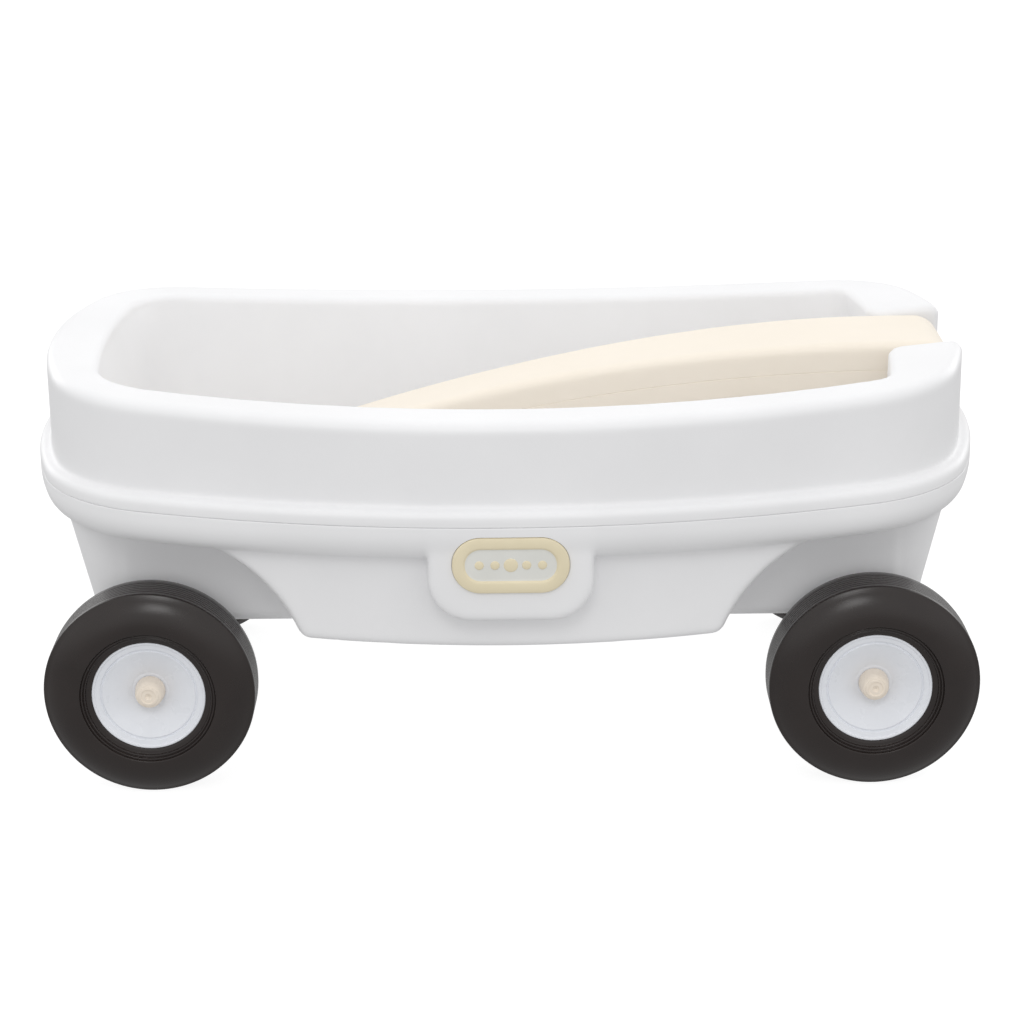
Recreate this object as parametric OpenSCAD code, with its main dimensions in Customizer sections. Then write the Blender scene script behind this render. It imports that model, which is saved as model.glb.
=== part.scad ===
// Toddler's pull wagon: a two-part moulded body on four wheels, with a
// folding pull handle that lies in the tub.
// Millimetres. +X points to the handle end, +Z up, origin on the floor
// under the middle of the body.

/* [Body] */
// Length over the bumper belt
body_len = 698; // [560:1:860]
// Width over the bumper belt at mid length
body_wid = 410; // [360:1:500]
// Height of the rim above the floor at mid length
rim_mid_z = 282.5; // [272:0.5:340]
// How much higher the rim is at the ends than at mid length
rim_rise = 19; // [0:0.5:25]
// How far each long side bows outward in plan
side_bow = 43; // [20:0.5:60]
// Radius of the end walls in plan
end_r = 380; // [250:5:900]
// Radius of the upright corners, at the outer wall
corner_r = 88; // [60:1:110]
// Wall thickness of both mouldings
wall = 3; // [2:0.1:4]

/* [Rim and tub] */
// Width of the rim along the sides
rim_w = 40; // [30:0.5:50]
// Width of the rim at the back
back_rim_w = 45; // [36:0.5:54]
// Width of the rim at the handle end
front_rim_w = 57; // [50:0.5:70]
// Radius of the rim's outer edge
rim_fillet = 10.7; // [6:0.1:14]
// Inner corner radius of the tub at the back
tub_back_r = 50; // [30:1:60]
// Inner corner radius of the tub at the handle end
tub_front_r = 16; // [10:1:30]
// How far the tub's sides and back draw in towards its floor
tub_draft = 27; // [26:0.5:32]
// Height of the tub's floor above the ground
tub_floor_z = 141; // [136:0.5:160]
// Radius between the tub's floor and its walls
tub_floor_fillet = 15; // [8:0.5:20]

/* [Belt and lower body] */
// How far the belt stands out from the wall above it
belt_out = 9; // [4:0.5:12]
// Height of the ledge on top of the belt
ledge_z = 220.6; // [214:0.2:230]
// Height of the seam between the two mouldings
seam_z = 209.6; // [204:0.2:213]
// Gap at the seam
seam_gap = 0.4; // [0.2:0.1:1]
// Height of the belt's lower edge
belt_low_z = 181.6; // [178:0.2:190]
// How much higher the belt is at the ends than at mid length
belt_rise = 12; // [0:0.5:16]
// Height of the flat underside
bottom_z = 112; // [106:0.5:116]
// Half width of the narrow part of the body between the wheels
core_half_w = 126; // [110:0.5:130]
// Slope of the lower body's ends, measured along its height
core_end_in = 19; // [5:0.5:30]
// How far the side panels stand in from the wall above
belly_in = 14; // [10:0.5:20]
// How much higher the side panels' lower edge is at its ends
belly_rise = 5.5; // [2:0.5:10]
// Radius of the wheel arches about the axle
arch_r = 118; // [110:0.5:120]

/* [Badges] */
// Length of each plain badge
badge_len = 82; // [60:1:100]
// Height of each plain badge
badge_h = 41; // [30:1:50]
// Height of the badge's centre above the ground
badge_z = 182; // [170:0.5:185]
// Width of the badge's raised border
badge_ring = 8.6; // [5:0.1:12]
// Thickness of the badge
badge_t = 4; // [3:0.1:6]

/* [Wheels] */
// Distance between the axles
wheelbase = 521; // [420:1:640]
// How far the axles and badges stand ahead of the body's middle
wheel_shift = 3; // [0:0.5:6]
// Wheel radius
wheel_r = 76; // [70:0.5:84]
// Wheel width
wheel_w = 51.5; // [40:0.5:56]
// Distance between the outer faces of a pair of wheels
track_out = 366; // [352:1:440]
// Radius of the hub disc
hub_r = 40.8; // [36:0.1:44]
// Depth of the hub disc below the tyre's outer face
hub_recess = 5.8; // [3:0.1:8]
// Depth of the dish at the middle of the hub disc
hub_dish = 12; // [8:0.5:16]
// Diameter of the axle rods
axle_d = 9.5; // [8:0.1:12]
// Radius of the push-on axle caps
cap_r = 10.8; // [9:0.1:13]
// Length of the push-on axle caps
cap_len = 14; // [11:0.5:18]

/* [Handle] */
// Width of the handle at its pivot
handle_w = 87; // [70:1:96]
// Width of the handle at its neck, behind the grip
neck_w = 60; // [50:1:70]
// Depth of the handle at its pivot
handle_depth = 41; // [36:0.5:44]
// Depth of the handle at its grip
grip_depth = 40; // [34:0.5:44]
// Gap between the end of the grip and the edge of the tub's flat floor
grip_gap = 2; // [0:0.5:20]
// Width of the grip loop
grip_w = 110; // [96:1:130]
// Length of the grip loop
grip_len = 80; // [74:1:100]
// Length of the hand hole, across the handle
hand_hole_w = 74; // [64:1:80]
// Opening of the hand hole, along the handle
hand_hole = 34; // [28:1:40]
// How far the handle's top lies below the rim at its pivot
handle_sunk = 3; // [2:0.5:8]
// Distance from the front wall to the pivot
pivot_back = 27; // [24:0.5:32]
// Diameter of the pivot pin
pin_d = 10; // [8:0.1:12]
// Gap between the handle and each side of its notch
notch_gap = 6.5; // [3:0.5:10]
// Depth of the notch below the pivot
notch_drop = 33.5; // [32:0.5:40]

/* [Hidden] */
$fn = 64;

shell_white = [0.93, 0.93, 0.94];
cream = [0.97, 0.94, 0.87];
badge_cream = [0.87, 0.83, 0.70];
tyre_black = [0.17, 0.155, 0.15];
hub_blue_white = [0.85, 0.87, 0.91];
cap_cream = [0.90, 0.85, 0.77];
steel = [0.62, 0.63, 0.65];
nylon = [0.88, 0.88, 0.84];

fit = 0.06;      // radial clearance of a shaft turning in a bore
seat = 0.05;     // radial clearance of a piece pressed into its seat
slack = 0.3;     // end clearance between pieces that turn
eps = 0.5;       // overlap that makes a cut go right through

half_len = body_len / 2 - belt_out;
half_wid = body_wid / 2 - belt_out;
side_r = (half_len * half_len + side_bow * side_bow) / (2 * side_bow);

// A plan outline is [back, front, half width, side radius, end radius,
// back corner radius, front corner radius], with both ends measured from x = 0.
wall_plan = [half_len, half_len, half_wid, side_r, end_r, corner_r, corner_r];
tub_plan = [half_len - back_rim_w, half_len - front_rim_w, half_wid - rim_w,
    side_r - rim_w, 2 * end_r, tub_back_r, tub_front_r];
tub_front_draft = 2;
floor_plan = [tub_plan[0] - tub_draft, tub_plan[1] - tub_front_draft,
    tub_plan[2] - tub_draft, side_r - rim_w - tub_draft, 2 * end_r,
    tub_back_r - tub_draft / 2, tub_front_r];
core_step = 12;                 // how far the lower body's ends stand in from the wall above
core_corner_r = corner_r * 0.45;
core_side_r = 40 * body_len;    // the lower body's sides are all but flat
core_top_end = half_len - core_step;
core_top_plan = [core_top_end, core_top_end, core_half_w, core_side_r, 2 * end_r,
    core_corner_r, core_corner_r];
core_low_end = core_top_end - core_end_in;
core_low_plan = [core_low_end, core_low_end, core_half_w, core_side_r, 2 * end_r,
    core_corner_r, core_corner_r];

end_steps = 2;
corner_steps = 8;
side_steps = 10;

function inset(p, d) = [p[0] - d, p[1] - d, p[2] - d, p[3] - d, p[4] - d,
    max(p[5] - d, 3), max(p[6] - d, 3)];

// Centre of the corner arc that touches the side arc and the end arc.
function corner_centre(reach, hw, rs, re, r) =
    let (ax = 0, ay = hw - rs, ar = rs - r, bx = reach - re, br = re - r,
        d = norm([bx - ax, ay]),
        a = (ar * ar - br * br + d * d) / (2 * d),
        h = sqrt(ar * ar - a * a),
        ux = (bx - ax) / d, uy = -ay / d)
    [ax + a * ux + h * abs(uy), ay + a * uy + h * abs(ux) * sign(-ux * uy)];

function arc(c, r, from, to, n) = [for (i = [0 : n - 1])
    let (t = from + (to - from) * i / n) [c[0] + r * cos(t), c[1] + r * sin(t)]];

function half_outline(p) =
    let (rs = p[3], re = p[4], cf = corner_centre(p[1], p[2], rs, re, p[6]),
        cb = corner_centre(p[0], p[2], rs, re, p[5]),
        side_c = [0, p[2] - rs],
        end_f = atan2(cf[1], cf[0] - p[1] + re),
        end_b = atan2(cb[1], cb[0] - p[0] + re),
        side_f = atan2(cf[1] - side_c[1], cf[0]),
        side_b = atan2(cb[1] - side_c[1], cb[0]))
    concat(
        arc([p[1] - re, 0], re, 0, end_f, end_steps),
        arc(cf, p[6], end_f, side_f, corner_steps),
        arc(side_c, rs, side_f, 180 - side_b, side_steps),
        arc([-cb[0], cb[1]], p[5], 180 - side_b, 180 - end_b, corner_steps),
        arc([re - p[0], 0], re, 180 - end_b, 180, end_steps),
        [[-p[0], 0]]);

function outline(p) =
    let (h = half_outline(p), n = len(h))
    concat(h, [for (i = [n - 2 : -1 : 1]) [h[i][0], -h[i][1]]]);

function rise(x, amount) = amount * pow(x / half_len, 2);

// One level of a shell: a plan outline, drawn in by d, at height z, which
// rises towards the ends by lift.
function level(p, d, z, lift) = [for (q = outline(inset(p, d)))
    [q[0], q[1], z + rise(q[0], lift)]];

// A closed shell through a list of levels, capped at the first, which faces up,
// and at the last, which faces down.
module loft(levels) {
    n = len(levels[0]);
    m = len(levels);
    points = [for (l = levels) each l];
    bands = [for (k = [0 : m - 2]) for (i = [0 : n - 1])
        let (a = k * n + i, b = k * n + (i + 1) % n)
        each [[a, b, b + n], [a, b + n, a + n]]];
    first = [for (i = [n - 1 : -1 : 0]) i];
    last = [for (i = [0 : n - 1]) (m - 1) * n + i];
    polyhedron(points, concat(bands, [first, last]), convexity = 8);
}

// Turns a shape drawn in X and Z, and pushed along +Y, upright.
module across(from, to) {
    translate([0, to, 0]) rotate([90, 0, 0]) linear_extrude(to - from) children();
}

module on_both_sides() {
    for (s = [0, 1]) mirror([0, s, 0]) children();
}

module rod(x, y0, y1, z, r) {
    translate([x, y0, z]) rotate([-90, 0, 0]) cylinder(r = r, h = y1 - y0);
}

pivot_x = half_len - pivot_back;
handle_top_z = rim_mid_z + rise(pivot_x, rim_rise) - handle_sunk;
pivot_z = handle_top_z - handle_depth / 2;
notch_half = handle_w / 2 + notch_gap;
notch_z = pivot_z - notch_drop;
notch_r = 12;

axle_z = wheel_r;
axle_back = wheel_shift - wheelbase / 2;
axle_front = wheel_shift + wheelbase / 2;
axle_xs = [axle_back, axle_front];
track_in = track_out / 2 - wheel_w;
hub_face = track_out / 2 - hub_recess;
dish_face = hub_face - hub_dish;
axle_r = axle_d / 2;

housing_r = 20;
housing_end = core_half_w - 3;
bush_r = 8;
bush_len = 12;
bush_flange_r = 11;
bush_flange_t = 2;
washer_t = 2;
washer_in = housing_end + bush_flange_t + slack;
hub_in = washer_in + washer_t + slack;

// ---------------------------------------------------------------- body

module tub_shell() {
    t = wall;
    loft([
        level(floor_plan, tub_floor_fillet, tub_floor_z, 0),
        level(floor_plan, tub_floor_fillet * 0.29, tub_floor_z + tub_floor_fillet * 0.29, 0),
        level(floor_plan, 0, tub_floor_z + tub_floor_fillet, 0),
        level(tub_plan, 0, rim_mid_z - 4, rim_rise),
        level(tub_plan, -1.2, rim_mid_z - 1.2, rim_rise),
        level(tub_plan, -4, rim_mid_z, rim_rise),
        level(wall_plan, rim_fillet, rim_mid_z, rim_rise),
        level(wall_plan, rim_fillet * 0.5, rim_mid_z - rim_fillet * 0.134, rim_rise),
        level(wall_plan, rim_fillet * 0.134, rim_mid_z - rim_fillet * 0.5, rim_rise),
        level(wall_plan, 0, rim_mid_z - rim_fillet, rim_rise),
        level(wall_plan, 0, ledge_z + 2, belt_rise),
        level(wall_plan, -belt_out * 0.3, ledge_z, belt_rise),
        level(wall_plan, -belt_out * 0.75, ledge_z - 1.5, belt_rise),
        level(wall_plan, -belt_out, ledge_z - 5, belt_rise),
        level(wall_plan, -belt_out, seam_z + seam_gap / 2, belt_rise),
        level(wall_plan, t - belt_out, seam_z + seam_gap / 2, belt_rise),
        level(wall_plan, t - belt_out, ledge_z - 5 - t / 2, belt_rise),
        level(wall_plan, t, ledge_z - t / 2, belt_rise),
        level(wall_plan, t, rim_mid_z - rim_fillet, rim_rise),
        level(wall_plan, rim_fillet, rim_mid_z - t, rim_rise),
        level(tub_plan, -4 - t / 2, rim_mid_z - t, rim_rise),
        level(tub_plan, -t, rim_mid_z - t - 4, rim_rise),
        level(floor_plan, -t, tub_floor_z + tub_floor_fillet, 0),
        level(floor_plan, tub_floor_fillet * 0.29 - t * 0.7,
            tub_floor_z + tub_floor_fillet * 0.29 - t * 0.7, 0),
        level(floor_plan, tub_floor_fillet, tub_floor_z - t, 0)
    ]);
}

// The outer shape of the tub, closed on top, which the notch's box stays inside.
module tub_envelope() {
    skin = 0.2;
    loft([
        level(wall_plan, rim_w * 2, rim_mid_z - skin, rim_rise),
        level(wall_plan, rim_w, rim_mid_z - skin, rim_rise),
        level(wall_plan, rim_fillet + skin, rim_mid_z - skin, rim_rise),
        level(wall_plan, rim_fillet * 0.5 + skin, rim_mid_z - rim_fillet * 0.134 - skin, rim_rise),
        level(wall_plan, rim_fillet * 0.134 + skin, rim_mid_z - rim_fillet * 0.5 - skin, rim_rise),
        level(wall_plan, skin, rim_mid_z - rim_fillet, rim_rise),
        level(wall_plan, skin, ledge_z, 0)
    ]);
}

// The notch's section across the wagon, open at the top.
module notch_section(grow) {
    w = notch_half + grow;
    r = notch_r + grow;
    z0 = notch_z - grow;
    translate([-w, z0 + r]) square([2 * w, 80]);
    translate([r - w, z0]) square([2 * (w - r), r + eps]);
    for (s = [-1, 1]) translate([s * (w - r), z0 + r]) circle(r);
}

module along_x(from, to) {
    translate([from, 0, 0]) rotate([90, 0, 90]) linear_extrude(to - from) children();
}

pin_boss_r = 11;
pin_boss_out = notch_half + wall + 9;
pin_bush_r = 7.5;
screw_x = [axle_back + 75, wheel_shift, axle_front - 75];
screw_y = core_half_w - 60;
boss_r = 6.5;
screw_r = 2.1;
screw_len = 18;
head_r = 4.2;
head_t = 2.6;
screw_pad_r = 8;
screw_pad_z = bottom_z + 7;     // where the chassis ends and the tub's boss begins

module at_screws() {
    for (x = screw_x) for (s = [-1, 1]) translate([x, s * screw_y, 0]) children();
}

module tub() {
    color(shell_white) difference() {
        union() {
            tub_shell();
            intersection() {
                along_x(tub_plan[1] + wall / 2, half_len) notch_section(wall);
                tub_envelope();
            }
            rod(pivot_x, -pin_boss_out, pin_boss_out, pivot_z, pin_boss_r);
            at_screws() translate([0, 0, screw_pad_z])
                cylinder(r = boss_r, h = tub_floor_z - wall / 2 - screw_pad_z);
        }
        along_x(tub_plan[1] - 30, half_len + 20) notch_section(0);
        rod(pivot_x, -pin_boss_out - eps, pin_boss_out + eps, pivot_z, pin_bush_r + seat);
        at_screws() translate([0, 0, bottom_z]) cylinder(r = screw_r + seat, h = head_t + screw_len + 2);
    }
}

module chassis_cup() {
    t = wall;
    loft([
        level(core_low_plan, t, bottom_z + t, 0),
        level(core_top_plan, t, belt_low_z + t - 1.5, belt_rise),
        level(wall_plan, belly_in, belt_low_z + t, belt_rise),
        level(wall_plan, t - 1, belt_low_z + 9, belt_rise),
        level(wall_plan, t - belt_out * 0.65, belt_low_z + 14, belt_rise),
        level(wall_plan, t - belt_out, belt_low_z + 24, belt_rise),
        level(wall_plan, t - belt_out, seam_z - seam_gap / 2, belt_rise),
        level(wall_plan, -belt_out, seam_z - seam_gap / 2, belt_rise),
        level(wall_plan, -belt_out, belt_low_z + 24, belt_rise),
        level(wall_plan, -belt_out * 0.93, belt_low_z + 18.5, belt_rise),
        level(wall_plan, -belt_out * 0.65, belt_low_z + 12.5, belt_rise),
        level(wall_plan, -1, belt_low_z + 7, belt_rise),
        level(wall_plan, 6, belt_low_z + 3, belt_rise),
        level(wall_plan, belly_in - 2, belt_low_z, belt_rise),
        level(core_top_plan, 0, belt_low_z - 1.5, belt_rise),
        level(core_low_plan, 0, bottom_z, 0)
    ]);
}

belly_bow_r = (pow(wheelbase * 0.3, 2) + belly_rise * belly_rise) / (2 * belly_rise);

// A side panel pair: the shape between the wheel arches, drawn in by d.
module belly(d) {
    top = belt_low_z + 9;
    intersection() {
        translate([0, 0, bottom_z - 5]) linear_extrude(top + d - bottom_z + 5)
            polygon(outline(inset(wall_plan, belly_in + d)));
        across(-half_wid, half_wid) difference() {
            intersection() {
                translate([axle_back, bottom_z + d]) square([wheelbase, top + d - bottom_z]);
                translate([wheel_shift, bottom_z + d + belly_bow_r]) circle(belly_bow_r, $fn = 180);
            }
            for (x = axle_xs) translate([x, axle_z]) circle(arch_r + d);
        }
    }
}

badge_face = body_wid / 2;
badge_pocket = 1.5;             // how deep each badge sits in its pad
badge_sunk = 1.2;               // how far its middle lies below its border
pad_face = badge_face - badge_t + badge_pocket;
pad_half = badge_len / 2 + 17;
pad_low = badge_z - badge_h / 2 - 22;
pad_r = 30;
pad_root = half_wid - belly_in - wall - 7;

// The outline of the raised pad under a badge, seen from the side.
module pad_section(d) translate([wheel_shift, 0]) {
    w = pad_half - d;
    r = pad_r - d;
    top = seam_z - seam_gap / 2 - 3;
    translate([-w, pad_low + pad_r]) square([2 * w, top - pad_low - pad_r]);
    translate([r - w, pad_low + d]) square([2 * (w - r), pad_r + eps]);
    for (s = [-1, 1]) translate([s * (w - r), pad_low + pad_r]) circle(r);
}

module round_bar(len, h, r) {
    translate([-len / 2, r - h / 2]) square([len, h - 2 * r]);
    translate([r - len / 2, -h / 2]) square([len - 2 * r, h]);
    for (sx = [-1, 1]) for (sz = [-1, 1])
        translate([sx * (len / 2 - r), sz * (h / 2 - r)]) circle(r);
}

module badge_outline(d) {
    translate([wheel_shift, badge_z]) round_bar(badge_len - 2 * d, badge_h - 2 * d, badge_h * 0.42 - d * 0.7);
}

// One axle housing: a box with a round underside, open inside between webs.
module axle_housing(x) {
    webs = 4;
    web_t = 6;
    end_t = bush_len;
    bay = (2 * housing_end - 2 * end_t - (webs - 2) * web_t) / (webs - 1);
    difference() {
        union() {
            rod(x, -housing_end, housing_end, axle_z, housing_r);
            translate([x - housing_r, -housing_end, axle_z])
                cube([2 * housing_r, 2 * housing_end, bottom_z + wall - axle_z]);
        }
        for (k = [0 : webs - 2]) {
            y0 = -housing_end + end_t + k * (bay + web_t);
            rod(x, y0, y0 + bay, axle_z, housing_r - wall);
            translate([x - housing_r + wall, y0, axle_z])
                cube([2 * (housing_r - wall), bay, bottom_z + wall + eps - axle_z]);
        }
        rod(x, -housing_end - eps, housing_end + eps, axle_z, axle_r + 1);
        on_both_sides()
            rod(x, housing_end - bush_len - eps, housing_end + eps, axle_z, bush_r + seat);
    }
}

module chassis() {
    color(shell_white) difference() {
        union() {
            difference() {
                union() {
                    chassis_cup();
                    belly(0);
                    on_both_sides() across(pad_root, pad_face) pad_section(0);
                }
                belly(wall);
                on_both_sides() across(core_half_w, pad_face - wall) pad_section(wall);
                translate([0, 0, bottom_z + wall]) linear_extrude(seam_z - bottom_z)
                    polygon(outline(inset(core_low_plan, wall)));
            }
            for (x = axle_xs) axle_housing(x);
            at_screws() translate([0, 0, bottom_z + eps])
                cylinder(r = screw_pad_r, h = screw_pad_z - bottom_z - eps);
        }
        for (x = axle_xs) translate([x, 0, 0])
            for (k = [-1, 0, 1]) translate([wall - housing_r, k * 70 - 25, bottom_z - eps])
                cube([2 * (housing_r - wall), 50, wall + 2 * eps]);
        on_both_sides() across(pad_face - badge_pocket, badge_face + belt_out) badge_outline(-0.3);
        at_screws() translate([0, 0, bottom_z - eps]) {
            cylinder(r = screw_r + slack, h = screw_pad_z - bottom_z + 2 * eps);
            cylinder(r = head_r + slack, h = head_t + slack + eps);
        }
    }
}

// A plain badge: a raised border round a sunken panel with a row of studs.
module badge() {
    back = pad_face - badge_pocket;
    color(badge_cream) {
        difference() {
            across(back, badge_face) badge_outline(0);
            across(badge_face - badge_sunk, badge_face + eps) badge_outline(badge_ring);
        }
        for (k = [-2 : 2])
            rod(wheel_shift + k * 11, badge_face - badge_sunk - eps, badge_face - 0.3, badge_z, k == 0 ? 5 : 3.2);
    }
}

module badge_left() badge();
module badge_right() mirror([0, 1, 0]) badge();

module body_screws() {
    color(steel) at_screws() {
        translate([0, 0, bottom_z + slack]) cylinder(r = head_r, h = head_t);
        translate([0, 0, bottom_z + head_t]) cylinder(r = screw_r, h = screw_len);
    }
}

// -------------------------------------------------------------- wheels

// Half section of a tyre, from its hollow middle out: radius, then distance
// from the tyre's inner face.
module tyre_section(d) {
    bulge_r = 11;
    tread_r = 5;
    step = 46.7;
    r0 = hub_r + seat + d;
    difference() {
        union() {
            translate([r0, 4 + d]) square([step - r0, wheel_w - hub_recess - 4 - 2 * d]);
            translate([step - eps, 1.5 + d]) square([wheel_r - tread_r - step, wheel_w - 3 - 2 * d]);
            translate([wheel_r - bulge_r - eps, bulge_r]) square([bulge_r - d + eps, wheel_w - 2 * bulge_r]);
            for (y = [bulge_r, wheel_w - bulge_r]) translate([wheel_r - bulge_r, y]) circle(bulge_r - d);
        }
        for (s = [0, 1]) translate([wheel_r - tread_r, s * wheel_w]) mirror([0, s])
            translate([0.5, -1]) square([10, 1.5]);
        if (d == 0) for (y = [0.36, 0.43, 0.5, 0.57, 0.64])
            translate([wheel_r - 0.5, wheel_w * y]) square([2, 0.8]);
    }
}

// Places a wheel piece whose section is drawn as radius, then distance from
// the wheel's inner face.
module wheel_at(x, side) {
    translate([x, side * track_in, axle_z])
        rotate([-90 * side, 0, 0]) children();
}

module tyre(x, side) {
    color(tyre_black) wheel_at(x, side) rotate_extrude() difference() {
        tyre_section(0);
        tyre_section(wall);
    }
}

hub_wall = 2.6;
hub_boss_r = 12.5;

// Half section of a hub: dished disc, outer wall and axle tube.
module hub_section() {
    face = hub_face - track_in;
    dish = dish_face - track_in;
    tube_in = hub_in - track_in;
    lip = 2.2;
    groove = hub_r - 6.8;
    bore = axle_r + fit;
    polygon([[bore, tube_in], [hub_boss_r, tube_in], [hub_boss_r, dish - hub_wall],
        [groove - 2, face - 3 - hub_wall], [hub_r - hub_wall, face - 2.4 - hub_wall],
        [hub_r - hub_wall, 5], [hub_r, 5], [hub_r, face], [hub_r - lip, face],
        [hub_r - lip - 0.6, face - 1.6], [groove + 0.8, face - 1.8], [groove + 0.4, face - 2.6],
        [groove - 0.4, face - 2.6], [groove - 0.8, face - 2],
        [hub_boss_r + 1, dish], [bore, dish]]);
}

module hub(x, side) {
    dish = dish_face - track_in;
    rib_t = 2.2;
    color(hub_blue_white) wheel_at(x, side) {
        rotate_extrude() hub_section();
        for (k = [0 : 5]) rotate([0, 0, 60 * k])
            translate([hub_boss_r - eps, -rib_t / 2, 6])
                cube([hub_r - hub_boss_r - hub_wall + 2 * eps, rib_t, dish - hub_wall - 6 + eps]);
    }
}

axle_end = dish_face + slack + cap_len - 4;

module axle(x) {
    color(steel) rod(x, -axle_end, axle_end, axle_z, axle_r);
}

module cap(x, side) {
    from = dish_face + slack - track_in;
    top = from + cap_len;
    socket_end = axle_end - track_in;
    color(cap_cream) wheel_at(x, side) rotate_extrude() polygon([
        [axle_r + seat / 2, from], [cap_r, from], [cap_r, from + 2], [cap_r - 1.2, top - 4.5],
        [cap_r - 2.2, top - 2], [cap_r - 4, top - 0.5], [cap_r - 6, top], [cap_r - 7, top - 0.6],
        [0, top - 1.4], [0, socket_end + seat], [axle_r + seat / 2, socket_end + seat]]);
}

module washer(x, side) {
    color(steel) wheel_at(x, side) translate([0, 0, washer_in - track_in]) difference() {
        cylinder(r = 10, h = washer_t);
        translate([0, 0, -eps]) cylinder(r = axle_r + seat, h = washer_t + 2 * eps);
    }
}

module bush(x, side) {
    from = housing_end - bush_len - track_in + slack;
    color(nylon) wheel_at(x, side) difference() {
        union() {
            translate([0, 0, from]) cylinder(r = bush_r, h = housing_end - track_in - from + eps);
            translate([0, 0, housing_end - track_in]) cylinder(r = bush_flange_r, h = bush_flange_t);
        }
        translate([0, 0, from - eps]) cylinder(r = axle_r + fit, h = bush_len + bush_flange_t + 2 * eps);
    }
}

module tyre_front_left() tyre(axle_front, 1);
module tyre_front_right() tyre(axle_front, -1);
module tyre_rear_left() tyre(axle_back, 1);
module tyre_rear_right() tyre(axle_back, -1);
module hub_front_left() hub(axle_front, 1);
module hub_front_right() hub(axle_front, -1);
module hub_rear_left() hub(axle_back, 1);
module hub_rear_right() hub(axle_back, -1);
module cap_front_left() cap(axle_front, 1);
module cap_front_right() cap(axle_front, -1);
module cap_rear_left() cap(axle_back, 1);
module cap_rear_right() cap(axle_back, -1);
module washer_front_left() washer(axle_front, 1);
module washer_front_right() washer(axle_front, -1);
module washer_rear_left() washer(axle_back, 1);
module washer_rear_right() washer(axle_back, -1);
module bush_front_left() bush(axle_front, 1);
module bush_front_right() bush(axle_front, -1);
module bush_rear_left() bush(axle_back, 1);
module bush_rear_right() bush(axle_back, -1);
module front_axle() axle(axle_front);
module rear_axle() axle(axle_back);

// -------------------------------------------------------------- handle

rest_gap = 0.6;
handle_end = tub_floor_fillet + grip_gap - floor_plan[0];
handle_reach = pivot_x - handle_end;
crown_x = pivot_x - 13;
handle_drop = handle_top_z - tub_floor_z - rest_gap - grip_depth;
sag = handle_drop / pow(crown_x - handle_end, 2);

function handle_top(x, d) = handle_top_z - sag * pow(max(crown_x - x, 0), 2) - d;
function depth_at(x) = grip_depth + (handle_depth - grip_depth)
    * min(1, max(0, (x - handle_end) / (crown_x - handle_end) * 1.6));
function handle_low(x, d) = handle_top(x, 0) - depth_at(x) + d;

// Side view of the handle, drawn in by d.
module handle_side(d) {
    steps = 24;
    from = handle_end + d;
    xs = [for (i = [0 : steps]) from + (pivot_x - from) * i / steps];
    polygon(concat([for (x = xs) [x, handle_low(x, d)]],
        [for (i = [steps : -1 : 0]) [xs[i], handle_top(xs[i], d)]]));
    translate([pivot_x, pivot_z]) circle(handle_depth / 2 - d);
}

// Plan of the handle, drawn in by d.
module handle_plan(d) {
    w = handle_w / 2 - d;
    n = neck_w / 2 - d;
    grip_x = handle_end + grip_len / 2;
    wide = pivot_x - 40;
    polygon(concat(
        [for (x = [pivot_x + handle_depth, wide]) [x, w]],
        [for (i = [1 : 8]) let (t = i / 8) [wide - t * handle_reach * 0.6,
            w - (w - n) * (1 - cos(180 * t)) / 2]],
        [[grip_x, n], [grip_x, -n]],
        [for (i = [8 : -1 : 1]) let (t = i / 8) [wide - t * handle_reach * 0.6,
            -w + (w - n) * (1 - cos(180 * t)) / 2]],
        [for (x = [wide, pivot_x + handle_depth]) [x, -w]]));
    translate([grip_x, 0]) rotate(90) round_bar(grip_w - 2 * d, grip_len - 2 * d, grip_len * 0.38 - d);
}

module hand_hole_plan(d) {
    translate([handle_end + grip_len / 2, 0]) rotate(90)
        round_bar(hand_hole_w + 2 * d, hand_hole + 2 * d, hand_hole * 0.42 + d);
}

module handle() {
    t = wall;
    color(cream) difference() {
        intersection() {
            across(-grip_w, grip_w) handle_side(0);
            linear_extrude(handle_top_z + 20) handle_plan(0);
        }
        difference() {
            intersection() {
                across(-grip_w, grip_w) handle_side(t);
                linear_extrude(handle_top_z + 20) handle_plan(t);
            }
            linear_extrude(handle_top_z + 20) hand_hole_plan(t);
            rod(pivot_x, -handle_w, handle_w, pivot_z, pin_d / 2 + t);
        }
        linear_extrude(handle_top_z + 20) hand_hole_plan(0);
        rod(pivot_x, -handle_w, handle_w, pivot_z, pin_d / 2 + fit);
    }
}

pin_head_t = 3;
pin_end = pin_boss_out + 1 + slack;

module handle_pin() {
    color(steel) {
        rod(pivot_x, -pin_end, pin_end + 4, pivot_z, pin_d / 2);
        rod(pivot_x, -pin_end - pin_head_t, -pin_end, pivot_z, 8);
    }
}

module pin_bush() {
    color(nylon) difference() {
        union() {
            rod(pivot_x, notch_half + slack, pin_boss_out, pivot_z, pin_bush_r);
            rod(pivot_x, pin_boss_out, pin_boss_out + 1, pivot_z, pin_boss_r);
        }
        rod(pivot_x, notch_half - eps, pin_boss_out + 2, pivot_z, pin_d / 2 + seat);
    }
}

module pin_bush_left() pin_bush();
module pin_bush_right() mirror([0, 1, 0]) pin_bush();

module pin_clip() {
    color(steel) difference() {
        rod(pivot_x, pin_end, pin_end + 1.5, pivot_z, 9);
        rod(pivot_x, pin_end - eps, pin_end + 2, pivot_z, pin_d / 2 + seat);
    }
}

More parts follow.
